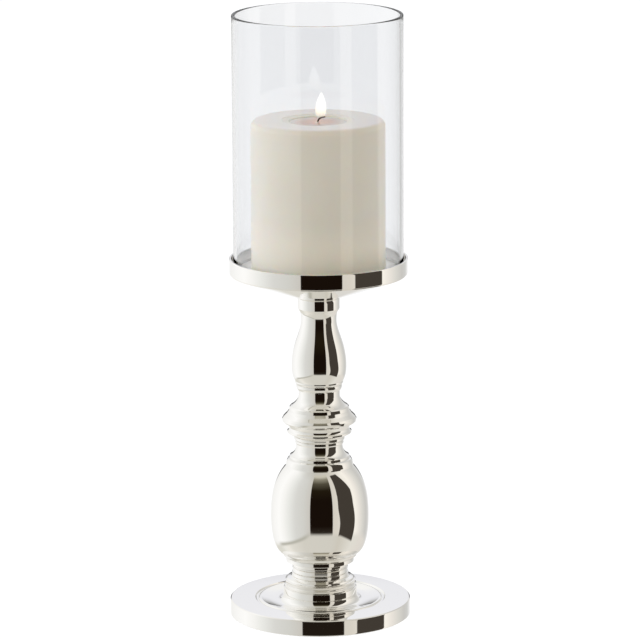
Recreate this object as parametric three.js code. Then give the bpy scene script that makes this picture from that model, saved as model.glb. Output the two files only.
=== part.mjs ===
// Hurricane candle holder: a turned, silver-plated stand with a tray, a glass cylinder and a pillar candle.
// Millimetres, +Z up. The stand rests on z = 0 and is turned about the Z axis.
// Every stem section is threaded on one tie rod, drawn tight by a nut under the foot and a nut in the tray.
import * as THREE from 'three';

// Glass and candle
const glassRadius = 50.0;
const glassHeight = 150.5;
const glassWall = 2.0;
const candleHeight = 88.7;
const candleAirGap = 8.6;

// Largest radii of the stand, from the table upwards
const footRadius = 53.5;
const columnRadius = 16.9;
const vaseRadius = 29.1;
const knopRadius = 22.0;
const balusterRadius = 16.2;
const collarRadius = 12.35;

// Main heights of the stand: its bands and the long curved stretches
const feltProud = 0.5;
const footBandHeight = 9.3;
const lowerBellyHeight = 22.3;
const upperBellyHeight = 30.6;
const knopNeckHeight = 3.3;
const lowerPearHeight = 9.1;
const upperPearHeight = 26.7;
const cupHeight = 14.7;
const trayBandHeight = 9.0;

// Walls and sheet
const footSheet = 1.2;
const cupWall = 1.6;
const vaseWall = 3.0;
const rimWall = 1.2;
const trayPlateThickness = 1.2;
const wellWall = 1.2;
const feltThickness = 2.0;

// Clearances
const runningGap = 0.3;
const rodGap = 0.4;
const glassToRimGap = 1.2;
const nutHeadroom = 1.2;
const socketGap = 2.8;

// Fasteners: a 6 mm rod with its nuts and washers
const rodRadius = 3.0;
const rodOverhang = 0.8;
const nutAcrossFlats = 10.0;
const baseNutHeight = 5.0;
const trayNutHeight = 3.2;
const smallWasherRadius = 6.2;
const baseWasherRadius = 9.0;
const baseWasherThickness = 1.6;
const lockWasherThickness = 1.4;
const trayWasherThickness = 1.2;
const lockWasherSplit = 1.0;

// Wax and wick
const candleBaseChamfer = 0.6;
const candleShoulder = 3.5;
const meltRingRadius = 20.7;
const meltRingDrop = 0.5;
const poolRadius = 16.9;
const poolEdgeDrop = 1.0;
const poolSlope = 1.6;
const poolDepth = 2.6;
const wickRadius = 0.5;
const wickFoot = 2.0;
const wickStraight = 0.4;
const wickRise = 3.7;
const wickLean = 4.5;

// Facets round the axis
const stemSides = 32;
const wideSides = 40;
const fastenerSides = 20;

// Sizes that follow from the ones above
const trayRadius = glassRadius + glassToRimGap + rimWall;
const candleRadius = glassRadius - glassWall - candleAirGap;
const boreRadius = rodRadius + rodGap;
const threadHoleRadius = rodRadius + runningGap;
const nutCornerRadius = nutAcrossFlats / Math.sqrt(3);

const plated = { color: 0xd9d7d2, roughness: 0.08, metalness: 1.0 };
const zinc = { color: 0xb4b8bc, roughness: 0.35, metalness: 1.0 };
const castIron = { color: 0x3a3a3c, roughness: 0.7, metalness: 0.6 };
const felt = { color: 0x1c1f1d, roughness: 0.95, metalness: 0.0 };
const clearGlass = { color: 0xeef2f6, roughness: 0.03, metalness: 0.0, transparent: true, opacity: 0.3 };
const wax = { color: 0xe6ddc8, roughness: 0.5, metalness: 0.0 };
const burntCotton = { color: 0x2a2018, roughness: 0.9, metalness: 0.0 };

const holder = new THREE.Group();

function addPiece(name, geometry, finish) {
  const piece = new THREE.Mesh(geometry, new THREE.MeshStandardMaterial(finish));
  piece.name = name;
  holder.add(piece);
}

// Walks the outside of a turned piece upwards from its seat. Each moulding gives its rise and the radius
// at its top. One with a pull is a curve: two shares, of its run and its rise, pull its start, and two its end.
function walkUp(mouldings, seat) {
  const outside = new THREE.Path();
  let radius = mouldings[0].radius;
  let height = seat + mouldings[0].rise;
  outside.moveTo(radius, height);
  for (const moulding of mouldings.slice(1)) {
    const run = moulding.radius - radius;
    if (moulding.pull) {
      const [startRun, startRise, endRun, endRise] = moulding.pull;
      outside.bezierCurveTo(
        radius + startRun * run, height + startRise * moulding.rise,
        radius + endRun * run, height + endRise * moulding.rise,
        moulding.radius, height + moulding.rise);
    } else {
      outside.lineTo(moulding.radius, height + moulding.rise);
    }
    radius = moulding.radius;
    height += moulding.rise;
  }
  return outside;
}

function totalRise(mouldings) {
  return mouldings.reduce((sum, moulding) => sum + moulding.rise, 0);
}

// Turns an outline of (radius, height) about the Z axis. The outline closes on itself, or ends on the axis.
function turned(outline, sides, curveSteps = 4) {
  const geometry = new THREE.LatheGeometry(outline.getPoints(curveSteps), sides);
  geometry.rotateX(Math.PI / 2);
  return geometry;
}

// Closes a walked outline with a plain bore round the tie rod.
function closeWithBore(outside, seat, top) {
  outside.lineTo(boreRadius, top);
  outside.lineTo(boreRadius, seat);
  outside.closePath();
  return outside;
}

// A flat ring between two radii, such as a washer, or a disc when the inner radius is zero.
function ringOutline(inner, outer, bottom, thickness) {
  const outline = new THREE.Path().moveTo(inner, bottom);
  outline.lineTo(outer, bottom);
  outline.lineTo(outer, bottom + thickness);
  outline.lineTo(inner, bottom + thickness);
  if (inner > 0) outline.closePath();
  return outline;
}

// Foot spun from sheet: an upright band, a border, a groove, a flat disc, and a drum of three steps with a neck.
const borderRise = 0.3;
const borderInnerRadius = 38.7;
const footGrooveDepth = 0.85;
const footGrooveRadius = 37.4;
const footDiscRadius = 36.5;
const footDiscInnerRadius = 24.4;
const footDrumRadius = 21.6;
const footDrumGroove = 1.0;
const footNeckRadius = 17.4;
const footBandEdge = 0.5;

const footBodyMouldings = [
  { moulding: 'band foot', radius: footRadius, rise: 0 },
  { moulding: 'band', radius: footRadius, rise: footBandHeight - footBandEdge },
  { moulding: 'band edge', radius: footRadius - 0.6, rise: footBandEdge },
  { moulding: 'border', radius: borderInnerRadius, rise: borderRise, pull: [0.31, 0.41, 0.71, 0.87] },
  { moulding: 'groove', radius: footGrooveRadius, rise: -footGrooveDepth, pull: [0.36, 0.9, 0.6, 1.0] },
  { moulding: 'groove floor', radius: footDiscRadius + 0.2, rise: 0.15 },
  { moulding: 'disc edge', radius: footDiscRadius, rise: 0.6 },
  { moulding: 'disc border', radius: 33.0, rise: 0.3, pull: [0.16, 0.45, 0.46, 0.87] },
  { moulding: 'disc', radius: footDiscInnerRadius, rise: 0.4 },
];
const footDrumMouldings = [
  { moulding: 'cove', radius: footDrumRadius - 0.1, rise: 2.7, pull: [0.66, 0.0, 0.77, 0.5] },
  { moulding: 'lower step', radius: footDrumRadius, rise: 2.3 },
  { moulding: 'ledge over lower step', radius: footDrumRadius - 0.7, rise: 0.3 },
  { moulding: 'middle step', radius: footDrumRadius - 0.1, rise: 2.0 },
  { moulding: 'drum groove', radius: footDrumRadius - footDrumGroove, rise: 0.5 },
  { moulding: 'upper step', radius: footDrumRadius - 0.6, rise: 2.5 },
  { moulding: 'ledge over upper step', radius: footDrumRadius - 1.5, rise: 0.3 },
];
const footNeckMouldings = [
  { moulding: 'top edge', radius: footDrumRadius - 2.0, rise: 0.9 },
  { moulding: 'shoulder', radius: footNeckRadius, rise: 0.8 },
  { moulding: 'neck edge', radius: footNeckRadius - 0.4, rise: 0.4 },
];
const footMouldings = [...footBodyMouldings, ...footDrumMouldings, ...footNeckMouldings];
const footSeat = feltProud;
const footTop = footSeat + totalRise(footMouldings);
const footDiscTop = footSeat + totalRise(footBodyMouldings);
const footDrumTop = footDiscTop + totalRise(footDrumMouldings);
const footBorderUnderside = footSeat + footBandHeight + borderRise - footGrooveDepth - footSheet;

function footShell() {
  const inner = footRadius - footSheet;
  const drumInner = footDrumRadius - footDrumGroove - footSheet;
  const outline = walkUp(footMouldings, footSeat);
  outline.lineTo(boreRadius, footTop);
  outline.lineTo(boreRadius, footTop - footSheet);
  outline.lineTo(footNeckRadius - footSheet, footTop - footSheet);
  outline.lineTo(drumInner, footDrumTop - footSheet);
  outline.lineTo(drumInner, footDiscTop + footSheet / 2);
  outline.lineTo(footDiscInnerRadius, footDiscTop - footSheet);
  outline.lineTo(footDiscRadius - 2 * footSheet, footBorderUnderside + footSheet / 2);
  outline.lineTo(footDiscRadius - footSheet, footBorderUnderside);
  outline.lineTo(inner, footBorderUnderside);
  outline.lineTo(inner, footSeat);
  outline.closePath();
  return turned(outline, wideSides, 3);
}

// Felt disc glued under the foot, standing just proud of the metal edge.
const underfootRadius = footRadius - footSheet - runningGap;

function feltPad() {
  return turned(ringOutline(0, underfootRadius, 0, feltThickness), wideSides);
}

// Cast weight that fills the foot. Its hub carries the top of the spun foot and hides the nut in a pocket.
const nutPocketRadius = 11.5;
const weightHubRadius = 13.0;
const weightHubFillet = 3.0;
const rodBottom = feltThickness + nutHeadroom;
const baseNutBottom = rodBottom + rodOverhang;
const lockWasherBottom = baseNutBottom + baseNutHeight;
const baseWasherBottom = lockWasherBottom + lockWasherThickness;
const pocketRoof = baseWasherBottom + baseWasherThickness;

function footWeight() {
  const discTop = footBorderUnderside - runningGap;
  const hubTop = footTop - footSheet;
  const outline = new THREE.Path().moveTo(boreRadius, pocketRoof);
  outline.lineTo(nutPocketRadius, pocketRoof);
  outline.lineTo(nutPocketRadius, feltThickness);
  outline.lineTo(underfootRadius, feltThickness);
  outline.lineTo(underfootRadius, discTop);
  outline.lineTo(weightHubRadius + weightHubFillet, discTop);
  outline.lineTo(weightHubRadius, discTop + weightHubFillet);
  outline.lineTo(weightHubRadius, hubTop);
  outline.lineTo(boreRadius, hubTop);
  outline.closePath();
  return turned(outline, wideSides);
}

// Short turned column between the foot and the vase: three fillets with grooves between them.
const columnMouldings = [
  { moulding: 'seat', radius: columnRadius - 0.2, rise: 0 },
  { moulding: 'lower fillet', radius: columnRadius - 0.1, rise: 2.2 },
  { moulding: 'groove', radius: columnRadius - 0.8, rise: 0.2 },
  { moulding: 'middle fillet foot', radius: columnRadius - 0.5, rise: 0.3 },
  { moulding: 'middle fillet', radius: columnRadius - 0.4, rise: 2.3 },
  { moulding: 'upper groove foot', radius: columnRadius - 1.0, rise: 0.4 },
  { moulding: 'upper groove', radius: columnRadius - 1.0, rise: 1.0 },
  { moulding: 'upper fillet foot', radius: columnRadius, rise: 0.3 },
  { moulding: 'upper fillet', radius: columnRadius, rise: 1.5 },
];
const columnTop = footTop + totalRise(columnMouldings);

function footColumn() {
  return turned(closeWithBore(walkUp(columnMouldings, footTop), footTop, columnTop), stemSides);
}

// Hollow cast vase: two fillets under the belly, the belly, a shoulder ring, and a waisted neck.
const lowerFilletRadius = 20.2;
const upperFilletRadius = 22.2;
const shoulderRadius = 20.2;
const vaseWaistRadius = 13.7;

const underBellyMouldings = [
  { moulding: 'seat', radius: columnRadius + 0.6, rise: 0 },
  { moulding: 'lower fillet foot', radius: lowerFilletRadius, rise: 1.0 },
  { moulding: 'lower fillet', radius: lowerFilletRadius, rise: 2.5 },
  { moulding: 'upper fillet foot', radius: upperFilletRadius - 0.3, rise: 1.0 },
  { moulding: 'upper fillet', radius: upperFilletRadius, rise: 1.7 },
  { moulding: 'belly foot', radius: upperFilletRadius + 0.8, rise: 0.2 },
];
const bellyMouldings = [
  { moulding: 'lower belly', radius: vaseRadius, rise: lowerBellyHeight, pull: [0.72, 0.12, 1.0, 0.5] },
  { moulding: 'upper belly', radius: shoulderRadius, rise: upperBellyHeight, pull: [0, 0.415, 0.21, 0.74] },
];
const vaseNeckMouldings = [
  { moulding: 'shoulder groove', radius: shoulderRadius - 0.3, rise: 0.6 },
  { moulding: 'shoulder ring', radius: shoulderRadius - 1.4, rise: 3.5, pull: [0.1, 0.4, 0.4, 0.8] },
  { moulding: 'ledge over the ring', radius: 17.9, rise: 0.5 },
  { moulding: 'neck fillet', radius: 17.6, rise: 1.5 },
  { moulding: 'waist', radius: vaseWaistRadius, rise: 7.2, pull: [0.56, 0.17, 1.0, 0.42] },
];
const vaseMouldings = [...underBellyMouldings, ...bellyMouldings, ...vaseNeckMouldings];
const bellyFoot = columnTop + totalRise(underBellyMouldings);
const shoulderHeight = bellyFoot + totalRise(bellyMouldings);
const vaseTop = columnTop + totalRise(vaseMouldings);

function vase() {
  const widest = bellyFoot + lowerBellyHeight;
  const hollowTop = shoulderHeight + vaseWall;
  const hollowRadius = vaseRadius - vaseWall;
  const hollowFootRadius = upperFilletRadius - vaseWall;
  const outline = walkUp(vaseMouldings, columnTop);
  outline.lineTo(boreRadius, vaseTop);
  outline.lineTo(boreRadius, hollowTop);
  outline.quadraticCurveTo(hollowRadius, hollowTop - vaseWall, hollowRadius, widest);
  outline.quadraticCurveTo(hollowRadius, bellyFoot + vaseWall, hollowFootRadius, bellyFoot);
  outline.lineTo(boreRadius, bellyFoot);
  outline.lineTo(boreRadius, columnTop);
  outline.closePath();
  return turned(outline, stemSides, 5);
}

// Knop: two thin rings, a small disc with a sharp edge, the wide knop, a fillet and a narrow neck.
const knopFootRadius = 14.1;
const smallDiscRadius = 19.0;
const knopFilletRadius = 17.5;
const knopNeckRadius = 12.2;

const knopMouldings = [
  { moulding: 'seat', radius: knopFootRadius, rise: 0 },
  { moulding: 'lower ring', radius: knopFootRadius + 0.3, rise: 0.8 },
  { moulding: 'groove', radius: knopFootRadius - 0.1, rise: 1.3 },
  { moulding: 'upper ring', radius: knopFootRadius + 0.9, rise: 0.8 },
  { moulding: 'under small disc', radius: knopFootRadius + 1.0, rise: 1.7 },
  { moulding: 'small disc underside', radius: smallDiscRadius, rise: 2.3 },
  { moulding: 'small disc edge', radius: smallDiscRadius, rise: 0.9 },
  { moulding: 'hollow over disc', radius: smallDiscRadius - 1.1, rise: 2.4, pull: [0.9, 0.38, 1.16, 0.61] },
  { moulding: 'flare under knop', radius: knopRadius - 0.9, rise: 2.9, pull: [0.21, 0.49, 0.27, 1.0] },
  { moulding: 'knop lower edge', radius: knopRadius - 0.2, rise: 0.7 },
  { moulding: 'knop', radius: knopRadius, rise: 1.6 },
  { moulding: 'knop upper edge', radius: knopRadius - 0.8, rise: 1.3 },
  { moulding: 'knop shoulder', radius: knopRadius - 2.8, rise: 2.0 },
  { moulding: 'fillet foot', radius: knopFilletRadius + 0.4, rise: 1.9 },
  { moulding: 'fillet', radius: knopFilletRadius, rise: 1.8 },
  { moulding: 'fillet edge', radius: knopFilletRadius - 0.6, rise: 0.6 },
  { moulding: 'cove', radius: knopNeckRadius, rise: 6.4, pull: [0.36, 0.15, 0.97, 0.52] },
  { moulding: 'neck', radius: knopNeckRadius, rise: knopNeckHeight },
];
const knopTop = vaseTop + totalRise(knopMouldings);

function knop() {
  return turned(closeWithBore(walkUp(knopMouldings, vaseTop), vaseTop, knopTop), stemSides, 3);
}

// Pear-shaped baluster with two beads at its foot and a slim, slightly flared neck.
const balusterFootRadius = 12.8;
const balusterNeckRadius = 10.5;

const balusterMouldings = [
  { moulding: 'seat', radius: balusterFootRadius, rise: 0 },
  { moulding: 'lower bead', radius: balusterFootRadius + 0.5, rise: 3.3, pull: [1.7, 0.38, 1.8, 0.72] },
  { moulding: 'upper bead', radius: balusterFootRadius + 1.5, rise: 2.2, pull: [0.93, 0.27, 1.13, 0.61] },
  { moulding: 'lower pear', radius: balusterRadius, rise: lowerPearHeight, pull: [0.74, 0.26, 1.0, 0.56] },
  { moulding: 'upper pear', radius: balusterNeckRadius, rise: upperPearHeight, pull: [0, 0.47, 0.91, 0.71] },
  { moulding: 'flare', radius: balusterNeckRadius + 1.1, rise: 6.5, pull: [0.0, 0.48, 0.09, 0.75] },
];
const balusterTop = knopTop + totalRise(balusterMouldings);

function baluster() {
  return turned(closeWithBore(walkUp(balusterMouldings, knopTop), knopTop, balusterTop), stemSides);
}

// Drum-shaped collar under the tray, with softened edges.
const collarMouldings = [
  { moulding: 'seat', radius: collarRadius - 0.6, rise: 0 },
  { moulding: 'lower edge', radius: collarRadius, rise: 1.3 },
  { moulding: 'drum', radius: collarRadius, rise: 4.6 },
  { moulding: 'upper edge', radius: collarRadius - 0.9, rise: 1.8, pull: [0.0, 0.56, 0.33, 0.89] },
];
const collarTop = balusterTop + totalRise(collarMouldings);

function neckCollar() {
  return turned(closeWithBore(walkUp(collarMouldings, balusterTop), balusterTop, collarTop), stemSides, 3);
}

// Heights of the tray: the cup, the rim's lip, the plate and its sunk well
const cupTop = collarTop + cupHeight;
const plateBottom = cupTop + rimWall;
const plateTop = plateBottom + trayPlateThickness;
const wellFloor = plateTop - trayWasherThickness - trayNutHeight - rodOverhang - nutHeadroom;
const wellUnderside = wellFloor - wellWall;

// Conical cup under the tray, a thin shell with a hub that carries the well of the tray plate.
const cupFootRadius = 12.3;
const cupEdge = 0.6;
const cupSeatWidth = 4.0;
const cupHubRadius = 10.4;
const cupFloorRise = 1.2;
const cupFloorInset = 3.0;

function trayCup() {
  const outer = trayRadius - cupEdge;
  const cupFloor = collarTop + cupWall + cupFloorRise;
  const outline = new THREE.Path().moveTo(boreRadius, collarTop);
  outline.lineTo(cupFootRadius, collarTop);
  outline.lineTo(outer, cupTop - cupEdge);
  outline.lineTo(outer, cupTop);
  outline.lineTo(outer - cupSeatWidth, cupTop);
  outline.lineTo(cupFootRadius + cupWall + cupFloorInset, cupFloor);
  outline.lineTo(cupHubRadius, cupFloor);
  outline.lineTo(cupHubRadius, wellUnderside);
  outline.lineTo(boreRadius, wellUnderside);
  outline.closePath();
  return turned(outline, wideSides);
}

// Upright rim band of the tray. Its inner lip is clamped between the plate above and the cup below.
const lipWidth = 3.4;
const rimEdge = 0.4;

function trayRim() {
  const inner = trayRadius - rimWall;
  const rimTop = cupTop + trayBandHeight;
  const outline = new THREE.Path().moveTo(inner - lipWidth, cupTop);
  outline.lineTo(trayRadius - rimEdge, cupTop);
  outline.lineTo(trayRadius, cupTop + rimEdge);
  outline.lineTo(trayRadius, rimTop - rimEdge);
  outline.lineTo(trayRadius - rimEdge, rimTop);
  outline.lineTo(inner + rimEdge, rimTop);
  outline.lineTo(inner, rimTop - rimEdge);
  outline.lineTo(inner, plateBottom);
  outline.lineTo(inner - lipWidth, plateBottom);
  outline.closePath();
  return turned(outline, wideSides);
}

// Flat floor of the tray, pressed from sheet, with a sunk well that keeps the nut below the candle.
function trayPlate() {
  const outer = trayRadius - rimWall - runningGap;
  const wellRadius = nutCornerRadius + socketGap;
  const outline = new THREE.Path().moveTo(boreRadius, wellUnderside);
  outline.lineTo(wellRadius + wellWall, wellUnderside);
  outline.lineTo(wellRadius + wellWall, plateBottom);
  outline.lineTo(outer, plateBottom);
  outline.lineTo(outer, plateTop);
  outline.lineTo(wellRadius, plateTop);
  outline.lineTo(wellRadius, wellFloor);
  outline.lineTo(boreRadius, wellFloor);
  outline.closePath();
  return turned(outline, wideSides);
}

// Tie rod through the whole stem, from the nut pocket in the foot to the well in the tray.
const trayNutBottom = wellFloor + trayWasherThickness;
const rodTop = trayNutBottom + trayNutHeight + rodOverhang;

function tieRod() {
  return turned(ringOutline(0, rodRadius, rodBottom, rodTop - rodBottom), fastenerSides);
}

function plainWasher(outerRadius, bottom, thickness) {
  return turned(ringOutline(threadHoleRadius, outerRadius, bottom, thickness), fastenerSides);
}

function extrudedUp(shape, bottom, thickness) {
  const options = { depth: thickness, bevelEnabled: false, curveSegments: fastenerSides };
  const geometry = new THREE.ExtrudeGeometry(shape, options);
  geometry.translate(0, 0, bottom);
  return geometry;
}

// Split spring washer: an open ring cut through at one place.
function lockWasher(bottom, thickness) {
  const splitAngle = lockWasherSplit / smallWasherRadius;
  const shape = new THREE.Shape();
  shape.absarc(0, 0, smallWasherRadius, splitAngle, 2 * Math.PI - splitAngle, false);
  shape.absarc(0, 0, threadHoleRadius, 2 * Math.PI - splitAngle, splitAngle, true);
  shape.closePath();
  return extrudedUp(shape, bottom, thickness);
}

function hexNut(bottom, height) {
  const shape = new THREE.Shape();
  shape.moveTo(nutCornerRadius, 0);
  for (let corner = 1; corner < 6; corner += 1) {
    const angle = (corner * Math.PI) / 3;
    shape.lineTo(nutCornerRadius * Math.cos(angle), nutCornerRadius * Math.sin(angle));
  }
  shape.closePath();
  shape.holes.push(new THREE.Path().absarc(0, 0, threadHoleRadius, 0, 2 * Math.PI, true));
  return extrudedUp(shape, bottom, height);
}

// Open glass cylinder that stands on the tray floor, with a fire-polished upper rim.
function glassCylinder() {
  const inner = glassRadius - glassWall;
  const top = plateTop + glassHeight;
  const round = glassWall / 2;
  const outline = new THREE.Path().moveTo(inner, plateTop);
  outline.lineTo(glassRadius, plateTop);
  outline.lineTo(glassRadius, top - round);
  outline.absarc(glassRadius - round, top - round, round, 0, Math.PI, false);
  outline.closePath();
  return turned(outline, wideSides);
}

// Pillar candle: rounded shoulder, softened ring round the melted pool, and a bore for the wick.
const candleTop = plateTop + candleHeight;
const poolFloor = candleTop - poolDepth;

function candle() {
  const bore = wickRadius + runningGap;
  const shoulderFoot = candleTop - candleShoulder;
  const outline = new THREE.Path().moveTo(bore, plateTop);
  outline.lineTo(candleRadius - candleBaseChamfer, plateTop);
  outline.lineTo(candleRadius, plateTop + candleBaseChamfer);
  outline.lineTo(candleRadius, shoulderFoot);
  outline.absarc(candleRadius - candleShoulder, shoulderFoot, candleShoulder, 0, Math.PI / 2, false);
  outline.lineTo(meltRingRadius, candleTop - meltRingDrop);
  outline.lineTo(poolRadius, candleTop - poolEdgeDrop);
  outline.lineTo(poolRadius - poolSlope, poolFloor);
  outline.lineTo(bore, poolFloor);
  outline.closePath();
  return turned(outline, wideSides);
}

// Cotton wick through the whole candle, bent over above the pool where it has burnt.
const wickSteps = 48;
const wickBendPull = 0.8;
const wickTipPull = 0.45;

function wick() {
  const foot = new THREE.Vector3(0, 0, plateTop + wickFoot);
  const bend = new THREE.Vector3(0, 0, poolFloor + wickStraight);
  const tip = new THREE.Vector3(wickLean, 0, bend.z + wickRise);
  const above = new THREE.Vector3(0, 0, bend.z + wickBendPull * wickRise);
  const behind = new THREE.Vector3(wickTipPull * wickLean, 0, tip.z);
  const path = new THREE.CurvePath();
  path.add(new THREE.LineCurve3(foot, bend));
  path.add(new THREE.CubicBezierCurve3(bend, above, behind, tip));
  const section = new THREE.Shape().absarc(0, 0, wickRadius, 0, 2 * Math.PI, false);
  return new THREE.ExtrudeGeometry(section, { extrudePath: path, steps: wickSteps, curveSegments: 4 });
}

addPiece('felt_pad', feltPad(), felt);
addPiece('foot_shell', footShell(), plated);
addPiece('foot_weight', footWeight(), castIron);
addPiece('foot_column', footColumn(), plated);
addPiece('vase', vase(), plated);
addPiece('knop', knop(), plated);
addPiece('baluster', baluster(), plated);
addPiece('neck_collar', neckCollar(), plated);
addPiece('tray_cup', trayCup(), plated);
addPiece('tray_rim', trayRim(), plated);
addPiece('tray_plate', trayPlate(), plated);

addPiece('tie_rod', tieRod(), zinc);
addPiece('base_nut', hexNut(baseNutBottom, baseNutHeight), zinc);
addPiece('base_lock_washer', lockWasher(lockWasherBottom, lockWasherThickness), zinc);
addPiece('base_washer', plainWasher(baseWasherRadius, baseWasherBottom, baseWasherThickness), zinc);
addPiece('tray_washer', plainWasher(smallWasherRadius, wellFloor, trayWasherThickness), zinc);
addPiece('tray_nut', hexNut(trayNutBottom, trayNutHeight), zinc);

addPiece('glass_cylinder', glassCylinder(), clearGlass);
addPiece('candle', candle(), wax);
addPiece('wick', wick(), burntCotton);

export default holder;
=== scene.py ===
import math

import bmesh
import bpy
from mathutils import Matrix, Vector


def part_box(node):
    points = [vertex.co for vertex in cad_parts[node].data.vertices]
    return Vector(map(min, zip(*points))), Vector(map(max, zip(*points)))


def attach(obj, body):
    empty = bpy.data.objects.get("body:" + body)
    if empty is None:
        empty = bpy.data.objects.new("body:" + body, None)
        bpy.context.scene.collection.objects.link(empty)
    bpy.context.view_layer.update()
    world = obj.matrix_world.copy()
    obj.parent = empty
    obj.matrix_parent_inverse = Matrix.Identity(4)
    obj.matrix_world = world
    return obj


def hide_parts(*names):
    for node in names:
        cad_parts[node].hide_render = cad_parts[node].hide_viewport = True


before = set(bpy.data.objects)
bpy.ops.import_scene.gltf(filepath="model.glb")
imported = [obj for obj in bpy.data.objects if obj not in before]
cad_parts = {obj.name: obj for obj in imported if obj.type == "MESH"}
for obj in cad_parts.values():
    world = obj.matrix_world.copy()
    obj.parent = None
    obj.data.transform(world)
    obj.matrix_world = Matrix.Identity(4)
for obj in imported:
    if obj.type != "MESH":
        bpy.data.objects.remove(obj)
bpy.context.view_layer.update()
scene = bpy.context.scene
scene.view_settings.view_transform = "Standard"

# Camera: a long lens about two and a half metres away, a little above the glass and tipped down towards
# the middle of the stand. The holder's axis crosses the picture just left of its middle.
eye_distance = 2.4719
eye_height = 0.7215
tip_down = math.radians(12.39)
roll = math.radians(0.30)
picture_side = 640
focal_length_in_pixels = 4301.2
axis_column = 318.8
film_width = 36.0

lens = bpy.data.cameras.new("camera")
lens.sensor_width = film_width
lens.lens = focal_length_in_pixels / picture_side * film_width
lens.clip_end = 20.0
eye = bpy.data.objects.new("camera", lens)
scene.collection.objects.link(eye)
scene.camera = eye
axis_angle = (axis_column - picture_side / 2) / focal_length_in_pixels
stand_point = Matrix.Translation((0, -eye_distance, eye_height))
aim = Matrix.Rotation(math.radians(90) - tip_down, 4, "X") @ Matrix.Rotation(-roll, 4, "Z")
eye.matrix_world = stand_point @ Matrix.Rotation(axis_angle, 4, "Z") @ aim

# Felt pad: a disc of pressed wool felt, punched out and glued under the foot, so that the metal edge
# of the foot stays just clear of the table.
MM = 0.001
turning_sides = 192
outer_spacing = 0.6 * MM
inner_spacing = 4.0 * MM
weld_distance = 1e-6
soft_turn_limit = math.radians(12)
soft_steps = 5
recess_fade = 0.55 * MM
full_recess_turn = math.radians(70)


def put(tree, kind, inputs=None, **settings):
    """Adds a node. An input's value is a number, a colour or another node's output."""
    node = tree.nodes.new(kind)
    for name, value in settings.items():
        setattr(node, name, value)
    for name, value in (inputs or {}).items():
        if isinstance(value, bpy.types.NodeSocket):
            tree.links.new(value, node.inputs[name])
        else:
            node.inputs[name].default_value = value
    return node


def calculate(tree, operation, *values, clamp=False):
    node = put(tree, "ShaderNodeMath", dict(enumerate(values)), operation=operation, use_clamp=clamp)
    return node.outputs[0]


def times(tree, first, second, clamp=False):
    return calculate(tree, "MULTIPLY", first, second, clamp=clamp)


def remap(tree, value, low=0.0, high=1.0, to_low=0.0, to_high=1.0, kind="LINEAR"):
    """Moves a value from one range to another, and holds it inside the second."""
    ends = {"Value": value, "From Min": low, "From Max": high, "To Min": to_low, "To Max": to_high}
    return put(tree, "ShaderNodeMapRange", ends, interpolation_type=kind).outputs[0]


def axes_of(tree, vector):
    """X, Y and Z of a vector, by name."""
    return put(tree, "ShaderNodeSeparateXYZ", {0: vector}).outputs


def noise(tree, spot, scale, detail, **more):
    inputs = {"Vector": spot, "Scale": scale, "Detail": detail, **more}
    return put(tree, "ShaderNodeTexNoise", inputs).outputs[0]


def new_shape_tree(name, inputs, output):
    """A Geometry Nodes tree with named inputs. Returns it, their identifiers and the input node's sockets."""
    tree = bpy.data.node_groups.new(name, "GeometryNodeTree")
    identifiers = {}
    for socket, kind in inputs.items():
        made = tree.interface.new_socket(socket, in_out="INPUT", socket_type="NodeSocket" + kind)
        identifiers[socket] = made.identifier
    tree.interface.new_socket(output, in_out="OUTPUT", socket_type="NodeSocketGeometry")
    return tree, identifiers, put(tree, "NodeGroupInput").outputs


def reshape(tree, shape, kind, inputs=None, **settings):
    """Passes the geometry that one node puts out through another node."""
    return put(tree, kind, {"Geometry": shape.outputs[0], **(inputs or {})}, **settings)


def finish_shape(tree, shape, finish, output):
    """The end of such a tree: smooth shading, real geometry and a material."""
    shape = reshape(tree, shape, "GeometryNodeSetShadeSmooth", {"Shade Smooth": True})
    shape = reshape(tree, shape, "GeometryNodeRealizeInstances")
    shape = reshape(tree, shape, "GeometryNodeSetMaterial", {"Material": finish})
    put(tree, "NodeGroupOutput", {output: shape.outputs[0]})


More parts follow.
